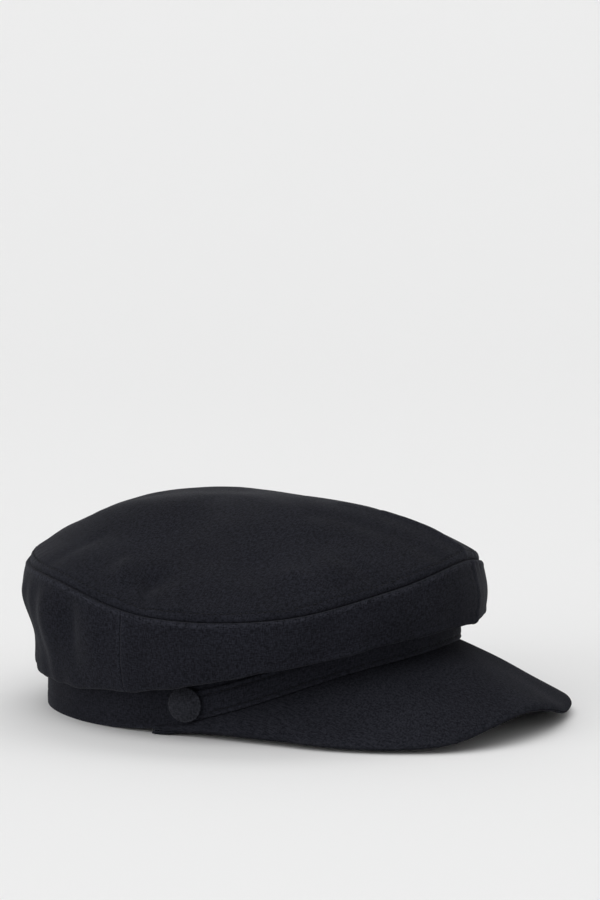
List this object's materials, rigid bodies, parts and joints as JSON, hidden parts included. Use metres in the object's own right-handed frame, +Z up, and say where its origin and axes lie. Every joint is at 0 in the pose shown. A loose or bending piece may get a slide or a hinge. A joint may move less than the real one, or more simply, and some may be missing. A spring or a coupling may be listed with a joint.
{
  "type": "cotton peaked cap",
  "caption": "Soft dark cotton cap with a full domed crown, an upright head band, a downturned peak, and a strap held by a covered button at each side.",
  "frame": {"origin": "under the middle of the cap's box, on the surface that it stands on", "axes": "+Z up, -Y forwards over the peak, -X to the wearer's right"},
  "size_m": [0.2058, 0.2636, 0.1],
  "materials": {
    "crown_cotton": "brushed cotton, charcoal black",
    "band_cotton": "brushed cotton, charcoal black",
    "peak_cotton": "brushed cotton over a stiff peak",
    "button_cotton": "cotton-covered button"
  },
  "bodies": {
    "root": {"tip": "crown_cotton", "side_front_right": "crown_cotton", "side_front_left": "crown_cotton", "side_back": "crown_cotton", "band": "band_cotton", "peak_top": "peak_cotton", "peak_under": "peak_cotton", "strap": "band_cotton", "button_right": "button_cotton", "button_left": "button_cotton"}
  },
  "joints": []
}
